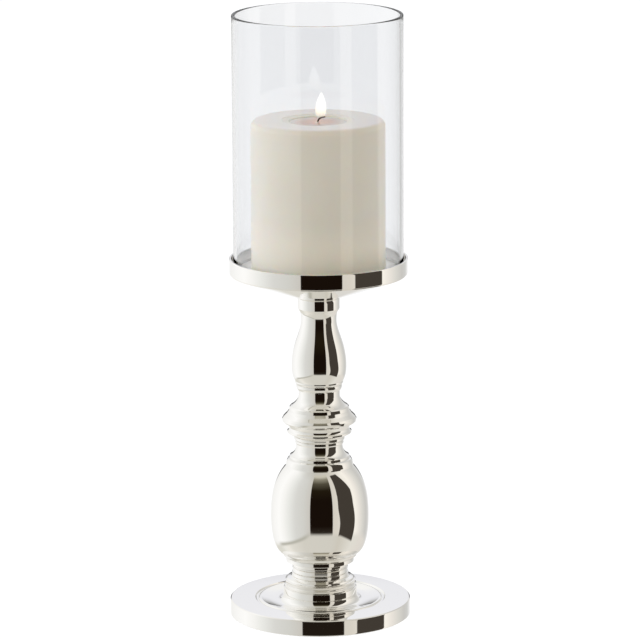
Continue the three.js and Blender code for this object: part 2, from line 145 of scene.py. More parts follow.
def turning_tree():
    """Turns an outline, whose x is a radius, about the Z axis. Waver moves the points marked soft."""
    inputs = {"Outline": "Geometry", "Sides": "Int", "Waver": "Float", "Finish": "Material"}
    tree, identifiers, given = new_shape_tree("turning", inputs, "Turned")
    counted = put(tree, "GeometryNodeAttributeDomainSize", {"Geometry": given["Outline"]}, component="MESH")
    points = counted.outputs["Point Count"]
    columns = calculate(tree, "ADD", given["Sides"], 1)
    grid = put(tree, "GeometryNodeMeshGrid", {
        "Size X": 1, "Size Y": 1, "Vertices X": columns, "Vertices Y": points})
    share = axes_of(tree, put(tree, "GeometryNodeInputPosition").outputs[0])
    angle = times(tree, calculate(tree, "ADD", share["X"], 0.5), 2 * math.pi)
    last = calculate(tree, "SUBTRACT", points, 1)
    row = calculate(tree, "ROUND", times(tree, calculate(tree, "ADD", share["Y"], 0.5), last))

    def sampled(field, kind):
        node = put(tree, "GeometryNodeSampleIndex", data_type=kind, domain="POINT")
        tree.links.new(given["Outline"], node.inputs["Geometry"])
        tree.links.new(field, node.inputs["Value"])
        tree.links.new(row, node.inputs["Index"])
        return node.outputs[0]

    def mark(name):
        named = put(tree, "GeometryNodeInputNamedAttribute", {"Name": name}, data_type="FLOAT")
        return sampled(named.outputs["Attribute"], "FLOAT")

    outline_point = sampled(put(tree, "GeometryNodeInputPosition").outputs[0], "FLOAT_VECTOR")
    outline_share = axes_of(tree, outline_point)
    across = calculate(tree, "COSINE", angle)
    along = calculate(tree, "SINE", angle)
    ring = put(tree, "ShaderNodeCombineXYZ", {"X": across, "Y": along, "Z": 0.0}).outputs[0]
    uneven = noise(tree, ring, 1.7, 2.0)
    shift = times(tree, calculate(tree, "SUBTRACT", uneven, 0.5), given["Waver"])
    soft = mark("soft")
    radius = calculate(tree, "ADD", outline_share["X"], times(tree, shift, soft))
    place = put(tree, "ShaderNodeCombineXYZ", {
        "X": times(tree, radius, across),
        "Y": times(tree, radius, along),
        "Z": outline_share["Z"],
    }).outputs[0]
    unrolled = {"Name": "UVMap", "Value": grid.outputs["UV Map"]}
    shape = reshape(tree, grid, "GeometryNodeStoreNamedAttribute", unrolled,
                    data_type="FLOAT2", domain="CORNER")
    for name in ("recess", "edge", "soft"):
        kept = {"Name": name, "Value": soft if name == "soft" else mark(name)}
        shape = reshape(tree, shape, "GeometryNodeStoreNamedAttribute", kept,
                        data_type="FLOAT", domain="POINT")
    shape = reshape(tree, shape, "GeometryNodeSetPosition", {"Position": place})
    shape = reshape(tree, shape, "GeometryNodeMergeByDistance", {"Distance": weld_distance})
    finish_shape(tree, shape, given["Finish"], "Turned")
    return tree, identifiers


turning = turning_tree()


def softened(points, radius, closed):
    """Rounds an outline's corners. Returns radius, height and bend: above 0 outside, below 0 inside."""
    made = []
    for index, here in enumerate(points):
        if not closed and index in (0, len(points) - 1):
            made.append((here[0], here[1], 0.0))
            continue
        before = Vector(points[index - 1]) - Vector(here)
        after = Vector(points[(index + 1) % len(points)]) - Vector(here)
        turn = (-before).angle_signed(after)
        if abs(turn) < soft_turn_limit or radius == 0:
            made.append((here[0], here[1], 0.0))
            continue
        reach = min(radius * math.tan(abs(turn) / 2), 0.42 * before.length, 0.42 * after.length)
        start = Vector(here) + before.normalized() * reach
        end = Vector(here) + after.normalized() * reach
        for step in range(soft_steps + 1):
            t = step / soft_steps
            point = start * (1 - t) ** 2 + Vector(here) * 2 * t * (1 - t) + end * t ** 2
            made.append((point.x, point.y, -turn))
    return made


def spaced(points, closed, fine_count):
    """Adds points along the straight stretches. The first fine_count points lie on the side that shows."""
    made = []
    pairs = list(zip(points, points[1:] + points[:1]))
    if not closed:
        pairs = pairs[:-1]
    for index, (here, there) in enumerate(pairs):
        length = math.dist(here[:2], there[:2])
        spacing = outer_spacing if index < fine_count else inner_spacing
        steps = max(1, math.ceil(length / spacing))
        for step in range(steps):
            t = step / steps
            bend = here[2] if step == 0 else 0.0
            made.append((here[0] + (there[0] - here[0]) * t, here[1] + (there[1] - here[1]) * t, bend))
    made.append(points[0] if closed else points[-1])
    return made


def outline_mesh(name, points, soft_height):
    """A chain of points with marks: recess at inside corners, edge at outside ones, soft above a height."""
    travelled = [0.0]
    for here, there in zip(points, points[1:]):
        travelled.append(travelled[-1] + math.dist(here[:2], there[:2]))
    corners = [(where, bend) for where, (_, _, bend) in zip(travelled, points) if bend]
    recess = []
    edge = []
    for where in travelled:
        deep = [min(1.0, -bend / full_recess_turn) * math.exp(-abs(where - at) / recess_fade)
                for at, bend in corners if bend < 0]
        proud = [min(1.0, bend / full_recess_turn) * math.exp(-abs(where - at) / (0.4 * recess_fade))
                 for at, bend in corners if bend > 0]
        recess.append(max(deep, default=0.0))
        edge.append(max(proud, default=0.0))
    mesh = bpy.data.meshes.new(name)
    chain = [(index, index + 1) for index in range(len(points) - 1)]
    mesh.from_pydata([(radius, 0.0, height) for radius, height, _ in points], chain, [])
    soft = [1.0 if soft_height is not None and height > soft_height else 0.0 for _, height, _ in points]
    for mark, values in (("recess", recess), ("edge", edge), ("soft", soft)):
        mesh.attributes.new(mark, "FLOAT", "POINT").data.foreach_set("value", values)
    return mesh


def grown_piece(name, line, recipe, values):
    """Grows a piece on a line of points by a tree of nodes, with its faces pointing outwards."""
    tree, identifiers = recipe
    draft = bpy.data.objects.new(name + "_draft", line)
    scene.collection.objects.link(draft)
    modifier = draft.modifiers.new(tree.name, "NODES")
    modifier.node_group = tree
    for socket, value in values.items():
        modifier[identifiers[socket]] = value
    graph = bpy.context.evaluated_depsgraph_get()
    mesh = bpy.data.meshes.new_from_object(draft.evaluated_get(graph), depsgraph=graph)
    bpy.data.objects.remove(draft)
    bpy.data.meshes.remove(line)
    shell = bmesh.new()
    shell.from_mesh(mesh)
    bmesh.ops.recalc_face_normals(shell, faces=shell.faces)
    shell.to_mesh(mesh)
    shell.free()
    mesh.name = name
    piece = bpy.data.objects.new(name, mesh)
    scene.collection.objects.link(piece)
    return piece


def turned_piece(name, outside, inside, finish, corner=0.15 * MM, waver=0.0, soft_height=None):
    """Turns a closed outline: its outside from the seat upwards, then its inside back down."""
    closed = min(point[0] for point in outside + inside) > 0
    rounded = softened(outside + inside, corner, closed)
    fine_count = len(softened(outside, corner, False))
    chain = outline_mesh(name, spaced(rounded, closed, fine_count), soft_height)
    return grown_piece(name, chain, turning, {"Sides": turning_sides, "Waver": waver, "Finish": finish})


def new_material(name, **plain):
    """A material with one Principled BSDF, whose plain values are set on its own sockets."""
    material = bpy.data.materials.new(name)
    material.use_nodes = True
    tree = material.node_tree
    surface = tree.nodes["Principled BSDF"]
    for socket, value in plain.items():
        surface.inputs[socket.replace("_", " ")].default_value = value
    return material, tree, surface


def new_group(name, inputs, outputs):
    """A shader node group with named number inputs and outputs. Returns it with its two end nodes."""
    group = bpy.data.node_groups.new(name, "ShaderNodeTree")
    for socket, value in inputs.items():
        made = group.interface.new_socket(socket, in_out="INPUT", socket_type="NodeSocketFloat")
        made.default_value = value
    for socket in outputs:
        group.interface.new_socket(socket, in_out="OUTPUT", socket_type="NodeSocketFloat")
    given = put(group, "NodeGroupInput").outputs
    result = put(group, "NodeGroupOutput").inputs
    return group, given, result


def use_group(tree, group, **inputs):
    node = put(tree, "ShaderNodeGroup", node_tree=group)
    for name, value in inputs.items():
        node.inputs[name].default_value = value
    return node.outputs


def feed(surface, **values):
    """Joins values to a shader's sockets."""
    for socket, value in values.items():
        surface.id_data.links.new(value, surface.inputs[socket.replace("_", " ")])


def on_piece(tree):
    """The place on the piece itself, and its X, Y and Z."""
    spot = put(tree, "ShaderNodeTexCoord").outputs["Object"]
    return spot, axes_of(tree, spot)


def from_axis(tree, share):
    """Distance from the Z axis."""
    squares = [calculate(tree, "POWER", share[name], 2.0) for name in "XY"]
    return calculate(tree, "SQRT", calculate(tree, "ADD", *squares))


def mixed(tree, factor, low, high):
    """Mixes two colours by a factor."""
    colours = {0: factor, 6: low, 7: high}
    return put(tree, "ShaderNodeMix", colours, data_type="RGBA").outputs[2]


def bump(tree, surface, height, rise, under=None):
    """Raises the surface by height, which runs from 0 to 1, times a rise in metres."""
    node = put(tree, "ShaderNodeBump", {"Strength": 1.0, "Distance": rise, "Height": height})
    if under is not None:
        tree.links.new(under, node.inputs["Normal"])
    tree.links.new(node.outputs[0], surface.inputs["Normal"])
    return node.outputs[0]


def grain_group():
    """Small irregular grain, as on felt, cast iron and wax. Size is the grain's width in metres."""
    group, given, result = new_group("grain", {"Size": MM, "Roughness": 0.6}, ("Grain", "Patches"))
    spot = put(group, "ShaderNodeTexCoord").outputs["Object"]
    fineness = calculate(group, "DIVIDE", 1.0, given["Size"])
    group.links.new(noise(group, spot, fineness, 4.0, Roughness=given["Roughness"]), result["Grain"])
    broad = times(group, fineness, 0.06)
    group.links.new(noise(group, spot, broad, 3.0), result["Patches"])
    return group


grain = grain_group()

felt_dark = (0.010, 0.013, 0.011, 1)
felt_light = (0.030, 0.036, 0.031, 1)
felt_fibre = 0.22 * MM
felt_nap = 0.12 * MM
felt_corner = 0.3 * MM


def felt_finish():
    material, tree, surface = new_material(
        "pressed_felt", Roughness=0.95, Sheen_Weight=0.5, Sheen_Roughness=0.6)
    fibres = use_group(tree, grain, Size=felt_fibre, Roughness=0.75)
    feed(surface, Base_Color=mixed(tree, fibres["Grain"], felt_dark, felt_light))
    bump(tree, surface, fibres["Grain"], felt_nap)
    return material


def disc_outline(radius, bottom, top):
    """Outside and inside of a plain disc: round its edge, and back along its top to the axis."""
    return [(0.0, bottom), (radius, bottom), (radius, top)], [(0.0, top)]


low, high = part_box("felt_pad")
outside, inside = disc_outline(high.x, low.z, high.z)
felt_pad = turned_piece("felt_disc", outside, inside, felt_finish(), corner=felt_corner)
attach(felt_pad, "stand")
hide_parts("felt_pad")

# Cast weight: grey iron poured in a sand mould and left as cast, because the foot hides it. Its hub carries
# the top of the spun foot, and a pocket under it takes the nut.
iron_dark = (0.030, 0.030, 0.032, 1)
iron_light = (0.105, 0.100, 0.098, 1)
iron_rust = (0.17, 0.075, 0.035, 1)
sand_grain = 0.5 * MM
sand_rise = 0.12 * MM


def cast_iron_finish():
    material, tree, surface = new_material("sand_cast_iron", Metallic=0.85)
    sand = use_group(tree, grain, Size=sand_grain, Roughness=0.7)
    iron = mixed(tree, sand["Grain"], iron_dark, iron_light)
    bloom = times(tree, calculate(tree, "SUBTRACT", sand["Patches"], 0.52), 4.0, clamp=True)
    rough = remap(tree, sand["Grain"], to_low=0.5, to_high=0.85)
    feed(surface, Base_Color=mixed(tree, bloom, iron, iron_rust), Roughness=rough)
    bump(tree, surface, sand["Grain"], sand_rise)
    return material


def refinish(node, finish):
    """Gives a CAD node that is kept a finish of its own."""
    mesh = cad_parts[node].data
    mesh.materials.clear()
    mesh.materials.append(finish)


refinish("foot_weight", cast_iron_finish())

# Foot: spun from brass sheet over a former, silver plated and buffed to a mirror. It has an upright band, a
# flat border, a groove and a bead round a shallow dish, and in the middle a drum of three steps with a neck.
# The rod draws it down on the cast weight.
silver = (0.945, 0.935, 0.910, 1)
# The dull dark colour painted into the grooves as shade.
silver_groove_shade = (0.44, 0.41, 0.345, 1)
silver_worn_edge = (0.955, 0.925, 0.865, 1)
buffing_rise = 0.00012 * MM
buffing_spacing = 0.25 * MM
line_drift = 0.6 * MM
hand_wave_rise = 0.0035 * MM
hand_wave_size = 11.0 * MM
smear_size = 14.0 * MM
curve_steps = 28
metal_corner = 0.22 * MM
foot_sheet = 1.2 * MM


def buffing_group():
    """Fine lines round the axis, left by the mop on a turning piece, and broad waves left by hand."""
    inputs = {"Spacing": buffing_spacing, "Wave": hand_wave_size}
    group, given, result = new_group("buffing", inputs, ("Lines", "Waves"))
    spot, share = on_piece(group)
    turn = times(group, calculate(group, "ARCTAN2", share["Y"], share["X"]), line_drift)
    place = put(group, "ShaderNodeCombineXYZ", {"X": from_axis(group, share), "Y": turn, "Z": share["Z"]})
    lines = noise(group, place.outputs[0], calculate(group, "DIVIDE", 1.0, given["Spacing"]), 2.0)
    waves = noise(group, spot, calculate(group, "DIVIDE", 1.0, given["Wave"]), 0.5)
    group.links.new(lines, result["Lines"])
    group.links.new(waves, result["Waves"])
    return group


def marked(tree, name):
    return put(tree, "ShaderNodeAttribute", attribute_name=name).outputs["Fac"]


def shade_and_rub_group():
    """Masks of the painted shade that darkens a groove and of the brighter rub on an edge, both broken up."""
    group, given, result = new_group("shade_and_rub", {"Groove": 0.6, "Rub": 0.5}, ("Painted shade", "Rubbed"))
    patches = noise(group, put(group, "ShaderNodeTexCoord").outputs["Object"], 240.0, 4.0)
    broken = remap(group, patches, 0.3, 0.65)
    recess = marked(group, "recess")
    edge = marked(group, "edge")
    # Painted shade: strongest in the deepest inside corners.
    groove_shade = times(group, calculate(group, "POWER", recess, 1.6), given["Groove"])
    uneven = calculate(group, "ADD", times(group, broken, 0.6), 0.4)
    group.links.new(times(group, groove_shade, uneven, clamp=True), result["Painted shade"])
    rubbed = times(group, edge, given["Rub"])
    group.links.new(times(group, rubbed, broken, clamp=True), result["Rubbed"])
    return group


def handling_group():
    """Faint smears and settled dust, which dull a polished surface in patches."""
    group, given, result = new_group("handling", {"Size": smear_size}, ("Smears",))
    spot = put(group, "ShaderNodeTexCoord").outputs["Object"]
    smears = noise(group, spot, calculate(group, "DIVIDE", 1.0, given["Size"]), 5.0, Distortion=0.6)
    group.links.new(remap(group, smears, 0.4, 0.75), result["Smears"])
    return group


buffing = buffing_group()
shade_and_rub = shade_and_rub_group()
handling = handling_group()


def silver_finish(name, groove=0.4, rub=0.5, gloss=0.022, smear=0.03, metal=1.0):
    """Silver plate, buffed bright. Gloss is the roughness of clean plate, smear what handling adds to it."""
    material, tree, surface = new_material(name, Metallic=metal)
    lines = use_group(tree, buffing, Spacing=buffing_spacing, Wave=hand_wave_size)
    marks = use_group(tree, shade_and_rub, Groove=groove, Rub=rub)
    smears = use_group(tree, handling, Size=smear_size)["Smears"]
    bright = mixed(tree, marks["Rubbed"], silver, silver_worn_edge)
    # Painted shade: the grooves are darkened and made rougher, for the shade that falls in them.
    colour = mixed(tree, marks["Painted shade"], bright, silver_groove_shade)
    dull = calculate(tree, "MULTIPLY_ADD", smears, smear, gloss)
    feed(surface, Base_Color=colour, Roughness=calculate(tree, "MULTIPLY_ADD", marks["Painted shade"], 0.22, dull))
    waves = bump(tree, surface, lines["Waves"], hand_wave_rise)
    bump(tree, surface, lines["Lines"], buffing_rise, under=waves)
    return material


def curved(start, first, second, end, steps):
    """Points along a curve that two more points pull, after its start."""
    made = []
    for step in range(1, steps + 1):
        t = step / steps
        point = start * (1 - t) ** 3 + first * 3 * t * (1 - t) ** 2
        made.append(point + second * 3 * t ** 2 * (1 - t) + end * t ** 3)
    return made


def walk_up(mouldings, seat):
    """Walks the outside of a turned piece up from its seat. A moulding gives its name, the radius at its
    top and its rise, in millimetres. One with a pull is a curve: shares of its run and rise pull its ends."""
    _, first_radius, first_rise, *_ = mouldings[0]
    points = [Vector((first_radius * MM, seat + first_rise * MM))]
    for _, radius, rise, *pull in mouldings[1:]:
        start = points[-1]
        end = Vector((radius * MM, start.y + rise * MM))
        if not pull:
            points.append(end)
            continue
        start_run, start_rise, end_run, end_rise = pull[0]
        first = start + Vector((start_run * (end.x - start.x), start_rise * (end.y - start.y)))
        second = start + Vector((end_run * (end.x - start.x), end_rise * (end.y - start.y)))
        points += curved(start, first, second, end, curve_steps)
    return [(point.x, point.y) for point in points]


rod_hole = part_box("tie_rod")[1].x + 0.4 * MM
stem_silver = silver_finish("silver_plate_stem")
foot_silver = silver_finish("silver_plate_foot", groove=0.2, smear=0.03)

foot_low, foot_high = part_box("foot_shell")
foot_radius = foot_high.x / MM
bead_radius = 35.2
dish_side_radius = 30.0
dish_floor_radius = 25.6
drum_groove_radius = 20.6
foot_neck_radius = 17.4
foot_mouldings = [
    ("band foot", foot_radius, 0),
    ("band", foot_radius, 8.8),
    ("band edge", foot_radius - 0.6, 0.5),
    ("border", 38.7, 0.3, (0.31, 0.41, 0.71, 0.87)),
    ("groove", 37.5, -1.0, (0.3, 0.9, 0.7, 1.0)),
    ("groove floor", 36.8, 0.1),
    ("bead", bead_radius, 1.0, (0.1, 0.6, 0.5, 1.0)),
    ("dish side", dish_side_radius, -1.2, (0.3, 0.35, 0.7, 0.75)),
    ("dish floor", dish_floor_radius, -0.45, (0.3, 0.5, 0.6, 0.9)),
    ("cove", 22.0, 4.2, (0.7, 0.0, 1.0, 0.5)),
    ("drum foot", 21.8, 1.6),
    ("lower step", 21.6, 2.0),
    ("ledge over lower step", 20.9, 0.3),
    ("middle step", 21.5, 1.6),
    ("drum groove", drum_groove_radius, 0.5),
    ("upper step", 21.0, 2.25),
    ("ledge over upper step", 20.1, 0.3),
    ("top edge", 19.6, 0.9),
    ("shoulder", foot_neck_radius, 0.8),
    ("neck edge", 17.0, 0.4),
]
outside = walk_up(foot_mouldings, foot_low.z)
border_height = 8.75 * MM
dish_floor_height = 8.05 * MM
drum_top_depth = 2.1 * MM
border_underside = foot_low.z + border_height - foot_sheet
dish_floor = foot_low.z + dish_floor_height
dish_underside = dish_floor - foot_sheet / 2
drum_inner = drum_groove_radius * MM - foot_sheet
drum_top = foot_high.z - drum_top_depth
inside = [
    (rod_hole, foot_high.z),
    (rod_hole, foot_high.z - foot_sheet),
    (foot_neck_radius * MM - foot_sheet, foot_high.z - foot_sheet),
    (drum_inner, drum_top - foot_sheet),
    (drum_inner, dish_floor + 2 * foot_sheet),
    (dish_floor_radius * MM - foot_sheet, dish_underside),
    (dish_side_radius * MM, dish_underside),
    (bead_radius * MM, border_underside),
    (foot_high.x - foot_sheet, border_underside),
    (foot_high.x - foot_sheet, foot_low.z),
]
spun_foot = turned_piece("spun_foot", outside, inside, foot_silver, corner=metal_corner)
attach(spun_foot, "stand")
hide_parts("foot_shell")

# Column: a short turned spacer between the foot and the vase, with three fillets and grooves between them.
# Turned brass, plated like the foot, with a plain hole for the rod.
column_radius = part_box("foot_column")[1].x / MM
column_mouldings = [
    ("seat", column_radius - 0.2, 0),
    ("lower fillet", column_radius - 0.1, 2.2),
    ("groove", column_radius - 0.8, 0.2),
    ("middle fillet foot", column_radius - 0.5, 0.3),
    ("middle fillet", column_radius - 0.4, 2.3),
    ("upper groove foot", column_radius - 1.0, 0.4),
    ("upper groove", column_radius - 1.0, 1.0),
    ("upper fillet foot", column_radius, 0.3),
    ("upper fillet", column_radius, 1.5),
]


def stem_section(name, node, mouldings, hollow=None):
    """A turned section of the stem, threaded on the rod. It is solid but for the rod's hole, or hollow."""
    low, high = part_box(node)
    inside = hollow or [(rod_hole, high.z), (rod_hole, low.z)]
    section = turned_piece(name, walk_up(mouldings, low.z), inside, stem_silver, corner=metal_corner)
    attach(section, "stand")
    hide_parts(node)


stem_section("turned_column", "foot_column", column_mouldings)

# Vase: the bulb of the stem, cast hollow in brass with a 3 mm wall, turned outside and plated. Two fillets
# lie under its belly, and a shoulder ring and a waisted neck lie over it.
vase_wall = 3.0 * MM
vase_low, vase_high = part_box("vase")
vase_radius = vase_high.x / MM
lower_fillet_radius = 20.2
upper_fillet_radius = 22.2
shoulder_radius = 20.2
lower_belly_height = 22.3
upper_belly_height = 30.6
vase_mouldings = [
    ("seat", column_radius + 0.6, 0),
    ("lower fillet foot", lower_fillet_radius, 1.0),
    ("lower fillet", lower_fillet_radius, 2.5),
    ("upper fillet foot", upper_fillet_radius - 0.3, 1.0),
    ("upper fillet", upper_fillet_radius, 1.7),
    ("belly foot", upper_fillet_radius + 0.8, 0.2),
    ("lower belly", vase_radius, lower_belly_height, (0.72, 0.12, 1.0, 0.5)),
    ("upper belly", shoulder_radius, upper_belly_height, (0.0, 0.415, 0.21, 0.74)),
    ("shoulder groove", shoulder_radius - 0.3, 0.6),
    ("shoulder ring", shoulder_radius - 1.4, 3.5, (0.1, 0.4, 0.4, 0.8)),
    ("ledge over the ring", 17.9, 0.5),
    ("neck fillet", 17.6, 1.5),
    ("waist", 13.7, 7.2, (0.56, 0.17, 1.0, 0.42)),
]
belly_foot_height = 6.4 * MM
belly_foot = vase_low.z + belly_foot_height
hollow_top = belly_foot + (lower_belly_height + upper_belly_height) * MM + vase_wall
hollow_radius = vase_high.x - vase_wall
vase_hollow = [
    (rod_hole, vase_high.z),
    (rod_hole, hollow_top),
    (hollow_radius * 0.55, hollow_top - 2 * vase_wall),
    (hollow_radius * 0.93, hollow_top - 6 * vase_wall),
    (hollow_radius, belly_foot + lower_belly_height * MM),
    (hollow_radius * 0.9, belly_foot + 3 * vase_wall),
    (upper_fillet_radius * MM - vase_wall, belly_foot),
    (rod_hole, belly_foot),
    (rod_hole, vase_low.z),
]
stem_section("turned_vase", "vase", vase_mouldings, vase_hollow)

# Knop: the wide ring that is gripped to lift the holder. Turned from solid brass and plated, with two thin
# rings and a sharp little disc under it, and a fillet, a cove and a narrow neck over it.
knop_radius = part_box("knop")[1].x / MM
knop_foot_radius = 14.1
small_disc_radius = 19.0
knop_fillet_radius = 17.5
knop_neck_radius = 12.2
knop_mouldings = [
    ("seat", knop_foot_radius, 0),
    ("lower ring", knop_foot_radius + 0.3, 0.8),
    ("groove", knop_foot_radius - 0.1, 1.3),
    ("upper ring", knop_foot_radius + 0.9, 0.8),
    ("under small disc", knop_foot_radius + 1.0, 1.7),
    ("small disc underside", small_disc_radius, 2.3),
    ("small disc edge", small_disc_radius, 0.9),
    ("hollow over disc", small_disc_radius - 1.1, 2.4, (0.9, 0.38, 1.16, 0.61)),
    ("flare under knop", knop_radius - 0.9, 2.9, (0.21, 0.49, 0.27, 1.0)),
    ("knop lower edge", knop_radius - 0.2, 0.7),
    ("knop", knop_radius, 1.6),
    ("knop upper edge", knop_radius - 0.8, 1.3),
    ("knop shoulder", knop_radius - 2.8, 2.0),
    ("fillet foot", knop_fillet_radius + 0.4, 1.9),
    ("fillet", knop_fillet_radius, 1.8),
    ("fillet edge", knop_fillet_radius - 0.6, 0.6),
    ("cove", knop_neck_radius, 6.4, (0.36, 0.15, 0.97, 0.52)),
    ("neck", knop_neck_radius, 3.3),
]
stem_section("turned_knop", "knop", knop_mouldings)

# Baluster: the pear-shaped upper stem, turned and plated, with two beads at its foot and a neck that
# flares a little under the collar.
baluster_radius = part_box("baluster")[1].x / MM
baluster_foot_radius = 12.8
baluster_neck_radius = 10.5
baluster_mouldings = [
    ("seat", baluster_foot_radius, 0),
    ("lower bead", baluster_foot_radius + 0.5, 3.3, (1.7, 0.38, 1.8, 0.72)),
    ("upper bead", baluster_foot_radius + 1.5, 2.2, (0.93, 0.27, 1.13, 0.61)),
    ("lower pear", baluster_radius, 9.1, (0.74, 0.26, 1.0, 0.56)),
    ("upper pear", baluster_neck_radius, 26.7, (0.0, 0.47, 0.91, 0.71)),
    ("flare", baluster_neck_radius + 1.1, 6.5, (0.0, 0.48, 0.09, 0.75)),
]
stem_section("turned_baluster", "baluster", baluster_mouldings)

# Collar: a small drum with softened edges, the last turned section of the stem. The tray's cup stands on
# it, and the rod runs through both.
collar_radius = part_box("neck_collar")[1].x / MM
collar_mouldings = [
    ("seat", collar_radius - 0.6, 0),
    ("lower edge", collar_radius, 1.3),
    ("drum", collar_radius, 4.6),
    ("upper edge", collar_radius - 0.9, 1.8, (0.0, 0.56, 0.33, 0.89)),
]
stem_section("turned_collar", "neck_collar", collar_mouldings)

# Tray: a spun conical cup, a rim band rolled from sheet, and a pressed floor. The rod clamps the rim's
# inner lip between the floor and the cup. All three are plated, and the floor's well takes the upper nut.
rim_wall = 1.2 * MM
rim_lip = 3.4 * MM
rim_corner = 0.3 * MM
tray_silver = silver_finish("silver_plate_tray", groove=0.2, smear=0.035)

cup_low, cup_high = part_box("tray_cup")
cup_wall = 1.6 * MM
cup_foot = 12.3 * MM
cup_hub = 10.4 * MM
cup_edge = 0.6 * MM
cup_top_wall = 4.0 * MM
cup_floor_flare = 3.0 * MM
cup_floor = cup_low.z + 2.8 * MM
well_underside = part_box("tray_plate")[0].z
outside = [(cup_foot, cup_low.z), (cup_high.x, cup_high.z - cup_edge), (cup_high.x, cup_high.z)]
inside = [
    (cup_high.x - cup_top_wall, cup_high.z),
    (cup_foot + cup_wall + cup_floor_flare, cup_floor),
    (cup_hub, cup_floor),
    (cup_hub, well_underside),
    (rod_hole, well_underside),
    (rod_hole, cup_low.z),
]
cup = turned_piece("spun_cup", outside, inside, tray_silver, corner=metal_corner)

rim_low, rim_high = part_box("tray_rim")
rim_inner = rim_high.x - rim_wall
lip_top = rim_low.z + rim_wall
lip_inner = rim_inner - rim_lip
outside = [
    (lip_inner, rim_low.z), (rim_high.x, rim_low.z), (rim_high.x, rim_high.z), (rim_inner, rim_high.z),
    (rim_inner, lip_top)]
inside = [(lip_inner, lip_top)]
rim = turned_piece("rolled_rim", outside, inside, tray_silver, corner=rim_corner)

plate_low, plate_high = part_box("tray_plate")
nut_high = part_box("tray_nut")[1]
plate_sheet = 1.2 * MM
nut_clearance = 2.8 * MM
well_radius = nut_high.x + nut_clearance
well_outside = well_radius + plate_sheet
well_floor = plate_low.z + plate_sheet
plate_bottom = plate_high.z - plate_sheet
outside = [
    (well_outside, plate_low.z), (well_outside, plate_bottom), (plate_high.x, plate_bottom),
    (plate_high.x, plate_high.z), (well_radius, plate_high.z), (well_radius, well_floor)]
inside = [(rod_hole, well_floor), (rod_hole, plate_low.z)]
satin_silver = silver_finish("silver_plate_satin", groove=0.0, gloss=0.35, smear=0.06, metal=0.6)
plate = turned_piece("pressed_floor", outside, inside, satin_silver, corner=metal_corner)

for piece, node in ((cup, "tray_cup"), (rim, "tray_rim"), (plate, "tray_plate")):
    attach(piece, "stand")
    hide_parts(node)

# Rod, nuts and washers: plain zinc-plated steel hardware that draws the stem tight. It is hidden once the
# holder is together, with its lower end in the foot's pocket and its upper end in the well of the tray.
zinc_bright = (0.62, 0.64, 0.66, 1)
zinc_spangle = (0.45, 0.47, 0.50, 1)
zinc_grain = 1.6 * MM
zinc_rise = 0.002 * MM


def zinc_finish():
    material, tree, surface = new_material("zinc_plate", Metallic=1.0)
    spangle = use_group(tree, grain, Size=zinc_grain, Roughness=0.5)
    colour = mixed(tree, spangle["Grain"], zinc_spangle, zinc_bright)
    feed(surface, Base_Color=colour, Roughness=remap(tree, spangle["Grain"], to_low=0.22, to_high=0.42))
    bump(tree, surface, spangle["Grain"], zinc_rise)
    return material


zinc = zinc_finish()
for node in ("tie_rod", "base_nut", "base_lock_washer", "base_washer", "tray_washer", "tray_nut"):
    refinish(node, zinc)

# Glass: an open cylinder of clear blown glass with a 2 mm wall. Its lower edge is ground flat and stands
# loose on the tray floor, and its upper rim is fire-polished to a half round.
glass_tint = (0.943, 0.950, 0.963, 1)
glass_passes = (0.97, 0.975, 0.98, 1)
glass_wall = 2.0 * MM
glass_corner = 0.25 * MM
glass_smear_size = 22.0 * MM
glass_smear = 0.012
rim_steps = 16


def glass_finish():
    """Clear glass. Light on its way to the candle and the tray goes straight through."""
    material, tree, surface = new_material("clear_glass", Metallic=0.0, Transmission_Weight=1.0, IOR=1.47)
    surface.inputs["Base Color"].default_value = glass_tint
    smears = use_group(tree, handling, Size=glass_smear_size)["Smears"]
    feed(surface, Roughness=times(tree, smears, glass_smear))
    path = put(tree, "ShaderNodeLightPath").outputs
    lighting = calculate(tree, "MAXIMUM", path["Is Shadow Ray"], path["Is Diffuse Ray"])
    straight_on = put(tree, "ShaderNodeBsdfTransparent", {"Color": glass_passes})
    seen = put(tree, "ShaderNodeMixShader", {0: lighting, 1: surface.outputs[0], 2: straight_on.outputs[0]})
    feed(tree.nodes["Material Output"], Surface=seen.outputs[0])
    return material


def arc(across, high, radius, turn, steps):
    """Points of an arc round a centre, from its outer side up and over through a turn."""
    angles = [turn * step / steps for step in range(steps + 1)]
    return [(across + radius * math.cos(angle), high + radius * math.sin(angle)) for angle in angles]


glass_low, glass_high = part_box("glass_cylinder")
bead = glass_wall / 2
outside = [(glass_high.x - glass_wall, glass_low.z), (glass_high.x, glass_low.z)]
outside += arc(glass_high.x - bead, glass_high.z - bead, bead, math.pi, rim_steps)
cylinder = turned_piece("clear_cylinder", outside, [], glass_finish(), corner=glass_corner)
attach(cylinder, "glass")
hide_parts("glass_cylinder")

# Candle: a pillar of poured paraffin wax with a rounded shoulder. Round the wick its top has sagged and
# melted: a soft ring, a lip, and a pool of liquid wax that fills the hollow under the flame.
wax_pale = (0.800, 0.735, 0.600, 1)
wax_deep = (0.755, 0.675, 0.530, 1)
wax_melting = (0.86, 0.79, 0.72, 1)
# Painted light: the wax near the foot is paler and warmer, making up for the shade of the tray.
wax_foot_painted_light = (0.98, 0.87, 0.69, 1)
painted_light_rise = 34.0 * MM
wax_grain = 2.5 * MM
wax_rise = 0.03 * MM
candle_corner = 0.5 * MM
candle_bevel = 0.6 * MM
candle_shoulder = 3.5 * MM
shoulder_steps = 12
melt_ring = 20.7 * MM
pool_radius = 16.9 * MM
pool_fill = 1.35 * MM
pool_depth = 2.6 * MM
pool_slope = 1.6 * MM
pool_waver = 0.9 * MM
melted_depth = 0.6 * MM
bore_floor = 1.0 * MM
bore_clearance = 0.3 * MM
candle_low, candle_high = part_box("candle")


